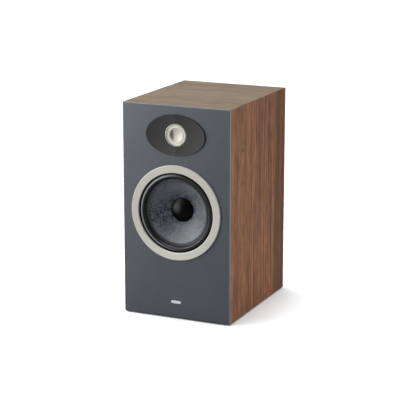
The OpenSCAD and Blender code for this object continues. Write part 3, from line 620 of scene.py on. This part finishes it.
def cap_satin():
    """Smooth black satin with the least grain and one soft painted highlight, left of the middle.
    """
    finish = Finish("cap_satin", Specular_IOR_Level=0.10)
    at = finish.place(origin=tuple(woofer))
    cloud = finish.noise(at, 90, detail=3)
    # Painted highlight: a soft pale spot left of the middle and a little above it.
    highlight_spot = finish.radius(finish.place(origin=tuple(woofer + Vector((-10, 0, 3)) * MM)))
    highlight_spot = finish.span(highlight_spot, 13 * MM, 1 * MM, smooth=True)
    finish.colour(finish.tint(finish.mix(highlight_spot, srgb(1, 1, 1), srgb(62, 62, 61)), 0.3, cloud))
    finish.rough(cloud, 0.24, 0.34)
    finish.bump(finish.noise(at, 1500), 0.000015)
    return finish.material


def woven(name, light, dark, threads, axes):
    """Cloth: two sets of threads that cross, with slubs."""
    finish = Finish(name, Specular_IOR_Level=0.2)
    at = finish.place()
    first = finish.wave(at, threads, axes[0], distortion=0.4)
    second = finish.wave(at, threads, axes[1], distortion=0.4)
    weave = finish.math("MAXIMUM", first, second)
    slubs = finish.noise(at, 160, detail=4)
    tone = finish.mix(weave, dark, light)
    finish.colour(finish.tint(tone, 0.2, slubs))
    finish.rough(slubs, 0.75, 0.95)
    finish.bump(weave, 0.00015)
    return finish.material


def felt():
    """Loose polyester wadding: tangled fibres over soft lumps."""
    finish = Finish("felt", Specular_IOR_Level=0.15, Sheen_Weight=0.4)
    at = finish.place()
    fibres = finish.noise(at, 700, detail=6, roughness=0.75, distortion=2.5)
    lumps = finish.noise(at, 60, detail=3)
    finish.colour(finish.ramp(fibres, (0.3, srgb(178, 176, 168)), (0.65, srgb(232, 230, 224))))
    finish.rough(lumps, 0.85, 1.0)
    finish.bump(finish.math("ADD", fibres, lumps), 0.0005)
    return finish.material


def winding(name, colour, pitch, axis):
    """Turns of enamelled wire side by side along one axis."""
    finish = Finish(name, Metallic=0.85)
    at = finish.place()
    turns = finish.wave(at, pitch, axis)
    tone = finish.mix(turns, srgb(92, 44, 20), colour)
    finish.colour(finish.tint(tone, 0.1, finish.noise(at, 200)))
    finish.rough(turns, 0.45, 0.25)
    finish.bump(turns, 0.0002)
    return finish.material


def ferrite():
    """Ground dark ceramic with chipped specks."""
    finish = Finish("ferrite", Specular_IOR_Level=0.5)
    at = finish.place()
    grit = finish.noise(at, 1600, detail=4, roughness=0.7)
    chips = finish.span(finish.cells(at, 260), 0.16, 0.06)
    tone = finish.ramp(grit, (0.35, srgb(42, 42, 45)), (0.65, srgb(62, 62, 66)))
    finish.colour(finish.mix(chips, tone, srgb(92, 92, 96)))
    finish.rough(grit, 0.45, 0.7)
    finish.bump(grit, 0.00008)
    return finish.material


def board_green():
    """Solder mask over wide copper tracks."""
    finish = Finish("board_green", Specular_IOR_Level=0.5)
    at = finish.place()
    brick = finish.add("TexBrick", {"Vector": at, "Scale": 26.0, "Mortar Size": 0.03})
    tracks = brick.outputs["Fac"]
    weave = finish.wave(at, 500, "X")
    tone = finish.mix(tracks, srgb(58, 108, 66), srgb(32, 72, 44))
    finish.colour(finish.tint(tone, 0.06, weave))
    finish.rough(weave, 0.3, 0.4)
    finish.bump(tracks, 0.00006)
    return finish.material


def cement():
    """Rough cast ceramic body."""
    finish = Finish("cement", Specular_IOR_Level=0.2)
    at = finish.place()
    grain = finish.noise(at, 1100, detail=5, roughness=0.7)
    pits = finish.span(finish.cells(at, 700), 0.2, 0.08)
    tone = finish.ramp(grain, (0.3, srgb(206, 203, 194)), (0.7, srgb(238, 236, 230)))
    finish.colour(finish.mix(pits, tone, srgb(168, 164, 154)))
    finish.rough(grain, 0.8, 0.95)
    finish.bump(grain, 0.00012)
    return finish.material


def nylon():
    """Natural nylon that lets a little light in."""
    return moulded("nylon", srgb(228, 224, 212), (0.4, 0.5), 0.00003, Subsurface_Weight=0.1)


def film():
    """Thin amber film, smooth and glossy."""
    finish = Finish("film", Specular_IOR_Level=0.55, Coat_Weight=0.4, Coat_Roughness=0.2)
    at = finish.place()
    cloud = finish.noise(at, 140, detail=3)
    finish.colour(finish.ramp(cloud, (0.3, srgb(176, 118, 52)), (0.7, srgb(210, 158, 84))))
    finish.rough(cloud, 0.3, 0.42)
    return finish.material


FINISHES = {
    "walnut_wrap": walnut_side,
    "walnut_top": walnut_flat,
    "rear_vinyl": leather_vinyl,
    "mdf": lambda: raw_board("mdf", srgb(146, 110, 76), srgb(110, 80, 54)),
    "charcoal_panel": charcoal_panel,
    "brace_ply": brace_ply,
    "wadding": felt,
    "foot_rubber": lambda: rubber("foot_rubber", srgb(26, 26, 27)),
    "badge_metal": badge_metal,
    "trim_metal": trim_metal,
    "foam": lambda: rubber("foam", srgb(34, 34, 35)),
    "basket_paint": lambda: moulded("basket_paint", srgb(34, 34, 37), (0.5, 0.65), 0.00008),
    "black_screw": lambda: brushed("black_screw", srgb(60, 60, 64), "Y", 0.35, 0.5),
    "surround_rubber": surround_rubber,
    "spider_cloth": lambda: woven("spider_cloth", srgb(200, 172, 96), srgb(128, 98, 40), 420, "XZ"),
    "plated_steel": lambda: brushed("plated_steel", srgb(186, 188, 190), "X", 0.3, 0.46),
    "ferrite": ferrite,
    "brass_tag": lambda: brushed("brass_tag", srgb(214, 178, 100), "Z", 0.28, 0.42),
    "copper_braid": lambda: winding("copper_braid", srgb(214, 138, 78), 700, "DIAGONAL"),
    "cone_fibre": cone_fibre,
    "cap_satin": cap_satin,
    "former_film": film,
    "copper_coil": lambda: winding("copper_coil", srgb(214, 120, 60), 420, "Z"),
    "oval_plate": oval_plate,
    "bezel_metal": bezel_metal,
    "moulded_black": lambda: moulded("moulded_black", srgb(30, 30, 32)),
    "cream_suspension": cream_suspension,
    "dome_metal": dome_metal,
    "port_plastic": lambda: moulded("port_plastic", srgb(28, 28, 30), (0.42, 0.58), 0.00007),
    "port_card": lambda: raw_board("port_card", srgb(46, 46, 48), srgb(66, 64, 62)),
    "zinc_screw": lambda: brushed("zinc_screw", srgb(98, 99, 104), "Y", 0.3, 0.45),
    "gold_plate": lambda: brushed("gold_plate", srgb(222, 178, 88), "Y", 0.16, 0.28),
    "collar_plastic": lambda: moulded("collar_plastic", srgb(36, 36, 38)),
    "knob_red": lambda: moulded("knob_red", srgb(168, 24, 30), (0.25, 0.36), 0.00002),
    "knob_black": lambda: moulded("knob_black", srgb(28, 28, 30), (0.25, 0.36), 0.00002),
    "board_green": board_green,
    "nylon": nylon,
    "cap_film": lambda: moulded("cap_film", srgb(40, 78, 148), (0.2, 0.32), 0.00003),
    "cement": cement,
    "tinned_steel": lambda: brushed("tinned_steel", srgb(206, 208, 212), "X", 0.25, 0.4),
    "wire_jacket": lambda: moulded("wire_jacket", srgb(150, 24, 26), (0.35, 0.45), 0.00002),
}
made = {}


def finish_of(slot):
    """The material of one of the record's slots, made when it is first asked for."""
    if slot not in made:
        made[slot] = FINISHES[slot]()
    return made[slot]


def dress_cad():
    """Every CAD node keeps its mesh and takes the finish of its slot."""
    for row in frame["record"]["subparts"]:
        mesh = frame["nodes"][row["node"]].data
        mesh.materials.clear()
        mesh.materials.append(finish_of(row["material_slot"]))


# ---- shapes ----


def piece(name, points, faces, slot, body=None):
    """A smooth mesh piece in the model's frame."""
    mesh = bpy.data.meshes.new(name)
    mesh.from_pydata(points, [], faces)
    shape = bmesh.new()
    shape.from_mesh(mesh)
    bmesh.ops.recalc_face_normals(shape, faces=shape.faces)
    shape.to_mesh(mesh)
    shape.free()
    mesh.shade_smooth()
    mesh.materials.append(finish_of(slot))
    made_piece = bpy.data.objects.new(name, mesh)
    scene.collection.objects.link(made_piece)
    if body:
        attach(made_piece, body)
    return made_piece


def turned(name, axis, outline, slot, steps):
    """A ring about a driver's axis. Its closed outline has points (radius, depth behind the front
    face) in mm."""
    count = len(outline)
    points, faces = [], []
    for i in range(steps):
        turn = 2 * math.pi * i / steps
        for radius, depth in outline:
            x = axis.x + radius * MM * math.cos(turn)
            z = axis.z + radius * MM * math.sin(turn)
            points.append((x, front_y + depth * MM, z))
        here, following = i * count, (i + 1) % steps * count
        for j in range(count):
            k = (j + 1) % count
            faces.append((here + j, here + k, following + k, following + j))
    return piece(name, points, faces, slot)


def skin(centre_line, thickness):
    """A closed outline of even thickness about a line of (radius, depth) points."""
    line = np.array(centre_line, float)
    way = np.gradient(line, axis=0)
    way /= np.linalg.norm(way, axis=1)[:, None]
    side = np.stack([-way[:, 1], way[:, 0]], axis=1) * thickness / 2
    return [tuple(p) for p in np.concatenate([line + side, (line - side)[::-1]])]


def smooth_step(t):
    t = np.clip(t, 0, 1)
    return t * t * (3 - 2 * t)


def set_blend(soft):
    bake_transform(soft)


def blend_by_radius(soft):
    """Bakes the piece's place into its mesh, as set_blend does."""
    set_blend(soft)


def catmull(points):
    """A smooth line through given points."""
    per_span = 6
    points = np.array(points, float)
    p = np.array([2 * points[0] - points[1], *points, 2 * points[-1] - points[-2]])
    line = []
    for i in range(1, len(p) - 2):
        for t in np.arange(per_span) / per_span:
            a, b, c, d = p[i - 1 : i + 3]
            square, cube = 2 * a - 5 * b + 4 * c - d, 3 * b - a - 3 * c + d
            line.append(0.5 * (2 * b + (c - a) * t + square * t**2 + cube * t**3))
    return np.array([*line, p[-2]])


def sweep(line, radius):
    """Points and faces of a round tube along a line, closed at both ends."""
    sides = TUBE_SIDES
    way = np.gradient(line, axis=0)
    way /= np.linalg.norm(way, axis=1)[:, None]
    up = np.cross(way[0], (1.0, 0.2, 0.1))
    points, faces = [], []
    for i, (at, ahead) in enumerate(zip(line, way)):
        up = up - ahead * up.dot(ahead)
        up /= np.linalg.norm(up)
        across = np.cross(ahead, up)
        for k in range(sides):
            turn = 2 * math.pi * k / sides
            points.append(at + radius * (math.cos(turn) * up + math.sin(turn) * across))
        if i:
            for k in range(sides):
                a, b = (i - 1) * sides + k, (i - 1) * sides + (k + 1) % sides
                faces.append((a, b, b + sides, a + sides))
    faces.append(tuple(range(sides)))
    faces.append(tuple(range((len(line) - 1) * sides, len(line) * sides)))
    return points, faces


def joined(meshes):
    """Several (points, faces) as one."""
    points, faces = [], []
    for some_points, some_faces in meshes:
        first = len(points)
        points += list(some_points)
        faces += [tuple(first + i for i in face) for face in some_faces]
    return points, faces


# ---- soft pieces ----


def woofer_surround():
    """A half-roll between the basket's step and the cone, with fine ridges on its inner strip."""
    roll_r, roll_s, roll, crown = 67.4, 4.9, 4.25, 5.7
    ridges, ridge_height = 3, 0.22
    foot = [(r, 5.0) for r in np.linspace(73.8, 72.3, 4)]
    turns = np.linspace(0.06, math.pi - 0.06, 36)
    arc = [(roll_r + roll * math.cos(a), roll_s - crown * math.sin(a)) for a in turns]
    strip_start, strip_end = (62.4, 5.1), (57.6, 5.9)
    strip = []
    for t in np.linspace(0.0, 1.0, 25):
        r, s = (np.array(strip_start) * (1 - t) + np.array(strip_end) * t).tolist()
        ridge = ridge_height * math.sin(ridges * 2 * math.pi * t) * math.sin(math.pi * t)
        strip.append((r, s - ridge))
    outline = skin(foot + arc + strip, thickness=0.6)
    soft = turned("surround_roll", woofer, outline, "surround_rubber", steps=288)
    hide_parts("woofer_surround")
    blend_by_radius(soft)


def woofer_spider():
    """A corrugated cloth disc from the voice coil's former to the basket's landing."""
    inner, outer, lip, depth = 16.1, 41.5, 45.7, 48.3
    waves, height = 5, 1.1
    line = []
    for r in np.linspace(inner, outer, 121):
        turn = 2 * math.pi * waves * (r - inner) / (outer - inner)
        line.append((r, depth + height * math.sin(turn)))
    line += [(r, depth) for r in np.linspace(outer + 0.6, lip, 4)]
    soft = turned("spider_disc", woofer, skin(line, thickness=0.5), "spider_cloth", steps=144)
    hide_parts("woofer_spider")
    blend_by_radius(soft)


def tweeter_surround():
    """A small cream half-roll round the dome."""
    roll_r, roll_s, roll = 14.3, 1.9, 1.05
    turns = np.linspace(0.0, math.pi - 0.1, 24)
    arc = [(roll_r - roll * math.cos(a), roll_s - roll * math.sin(a)) for a in turns]
    lip = [(r, 2.1) for r in np.linspace(15.5, 17.3, 6)]
    outline = skin(arc + lip, thickness=0.36)
    soft = turned("suspension_roll", tweeter, outline, "cream_suspension", steps=192)
    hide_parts("tweeter_surround")
    blend_by_radius(soft)


def tinsel_leads():
    """Braided leads from the basket's tags, out through a window and in to the back of the cone."""
    tags_below, thickness = 50, 1.4
    # Each point is (distance below the tags, depth behind the front face), in mm.
    route = [
        (1, 50), (1, 49.2), (1.8, 48), (3.3, 46.2), (3.5, 44.4), (2, 42.7), (-1.5, 41.8),
        (-5, 41.6), (-9, 41.6), (-13, 41), (-17, 40.2), (-20.5, 38), (-22.8, 34), (-23.6, 29.8),
        (-23.8, 26.5),
    ]
    tubes, weights = [], []
    for x in (-7, 7):
        line = catmull([(x, tags_below + down, depth) for down, depth in route])
        along = np.linspace(0, 1, len(line))
        wound = []
        for side, down, depth in line:
            wound.append((woofer.x + side * MM, front_y + depth * MM, woofer.z - down * MM))
        tubes.append(sweep(np.array(wound), thickness / 2 * MM))
        # Weights for the first third or so to stay with the tags and the far end to move with the
        # cone; nothing reads them.
        weights.append(np.repeat(smooth_step((along - 0.35) / 0.6), TUBE_SIDES))
    soft = piece("tinsel_braids", *joined(tubes), "copper_braid")
    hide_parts("woofer_tinsel_leads")
    set_blend(soft)


def internal_wires():
    """Three pairs of wires, red and black, from the crossover to the posts and drivers' tags."""
    # Places are in mm, and come from the parts that the wires join.
    low, high = (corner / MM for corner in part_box("crossover_board"))
    pads, rear, front, mid = high.z, high.y - 5, low.y + 5, (low.y + high.y) / 2
    post_x = middle("knob_positive").x / MM
    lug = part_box("solder_lugs")[0] / MM + Vector((0, 0, 3))
    tag = Vector((0, middle("woofer_terminals").y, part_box("woofer_terminals")[0].z)) / MM
    t_tag = Vector((0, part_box("tweeter_terminals")[1].y, middle("tweeter_terminals").z)) / MM
    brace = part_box("window_brace")[0].z / MM
    thickness = 2.6
    for name, slot, x in (("red", "wire_jacket", post_x), ("black", "moulded_black", -post_x)):
        i = math.copysign(1, x)
        to_post = [
            (x, rear, pads), (x, rear, pads + 9), (x, rear + 5, pads + 20),
            (x, rear + 17, pads + 30), (x, rear + 32, lug.z - 9), (x, lug.y - 12, lug.z - 2),
            (x, lug.y - 5, lug.z), (x, lug.y, lug.z),
        ]
        to_woofer = [
            (i * 4, front, pads), (i * 4, front, pads + 10), (i * 4.5, front - 5, pads + 28),
            (i * 5, front - 15, tag.z - 57), (i * 6, front - 25, tag.z - 33),
            (i * 7, tag.y - 3, tag.z - 15), (i * 7, tag.y, tag.z - 7), (i * 7, tag.y, tag.z),
        ]
        to_tweeter = [
            (i * 2 - 60, mid + 10, pads), (i * 2 - 60, mid + 10, pads + 14),
            (i * 2 - 58, mid + 4, t_tag.z - 217), (i * 2 - 57, mid - 6, t_tag.z - 137),
            (i * 2 - 54, mid - 14, t_tag.z - 67), (i * 2 - 50, mid - 22, brace + 4),
            (i * 3 - 30, mid - 34, brace + 24), (i * 4 - 12, t_tag.y + 18, t_tag.z - 5),
            (i * 5, t_tag.y + 8, t_tag.z), (i * 5, t_tag.y, t_tag.z),
        ]
        routes = (to_post, to_woofer, to_tweeter)
        tubes = [sweep(catmull(route) * MM, thickness / 2 * MM) for route in routes]
        wires = piece(f"wires_{name}", *joined(tubes), slot, "cabinet")
        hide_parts("internal_wiring")


def bezel_beads():
    """The ring of fine beads on the tweeter's bezel."""
    count, bead, proud = 72, 0.62, 0.05
    balls = []
    for i in range(count):
        turn = 2 * math.pi * i / count
        ball = bmesh.new()
        bmesh.ops.create_uvsphere(ball, u_segments=10, v_segments=6, radius=bead * MM)
        out = Vector((math.cos(turn), 0, math.sin(turn))) * bead_ring
        centre = Vector((tweeter.x, front_y - proud * MM, tweeter.z)) + out
        points = [v.co + centre for v in ball.verts]
        balls.append((points, [tuple(v.index for v in f.verts) for f in ball.faces]))
        ball.free()
    piece("bezel_beads", *joined(balls), "bezel_metal", "cabinet")


def wadding_pads():
    """Four crowned pads of wadding, held to the side walls above and below the brace."""
    low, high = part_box("damping_wadding")
    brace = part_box("window_brace")
    gap = 2 * MM
    spans = {"low": (low.z, brace[0].z - gap), "high": (brace[1].z + gap, high.z)}
    inner_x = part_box("side_panel_right")[0].x
    thick = 14 * MM
    for side, sign in (("left", -1), ("right", 1)):
        for level, (z0, z1) in spans.items():
            name = f"wadding_{side}_{level}"
            made_pad = pad(name, sign, inner_x, thick, (low.y, high.y), (z0, z1))
            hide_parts("damping_wadding")


def pad(name, sign, wall_x, thick, across, up):
    """A pad flat against a side wall, crowned towards its middle, with pulled-in edges."""
    count = 28
    points, faces = [], []
    for layer in (0, 1):
        for i in range(count + 1):
            for j in range(count + 1):
                u, v = 2 * i / count - 1, 2 * j / count - 1
                # The pad thins out at its edge, swells unevenly and is drawn in at its ends.
                edge = (1 - abs(u) ** 8) ** 0.35 * (1 - abs(v) ** 8) ** 0.35
                lump = 1 - 0.10 * (math.sin(7 * u + 3 * v) * math.cos(5 * v - 2 * u)) ** 2
                pull = 1 - 0.015 * (1 - v * v) * abs(u) ** 3
                y = np.interp(u * pull, (-1, 1), across)
                z = np.interp(v, (-1, 1), up)
                x = wall_x - layer * thick * edge * lump
                points.append((sign * x, y, z))
    size = (count + 1) ** 2

    def corner(layer, i, j):
        return layer * size + i * (count + 1) + j

    for layer in (0, 1):
        for i in range(count):
            for j in range(count):
                square = (i, j), (i + 1, j), (i + 1, j + 1), (i, j + 1)
                faces.append(tuple(corner(layer, *c) for c in square))
    made_pad = piece(name, points, faces, "wadding")
    weld = bmesh.new()
    weld.from_mesh(made_pad.data)
    bmesh.ops.remove_doubles(weld, verts=weld.verts, dist=1e-5)
    bmesh.ops.recalc_face_normals(weld, faces=weld.faces)
    weld.to_mesh(made_pad.data)
    weld.free()
    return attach(made_pad, "cabinet")


studio()
pale_floor()
dress_cad()
woofer_surround()
woofer_spider()
tweeter_surround()
tinsel_leads()
internal_wires()
bezel_beads()
wadding_pads()
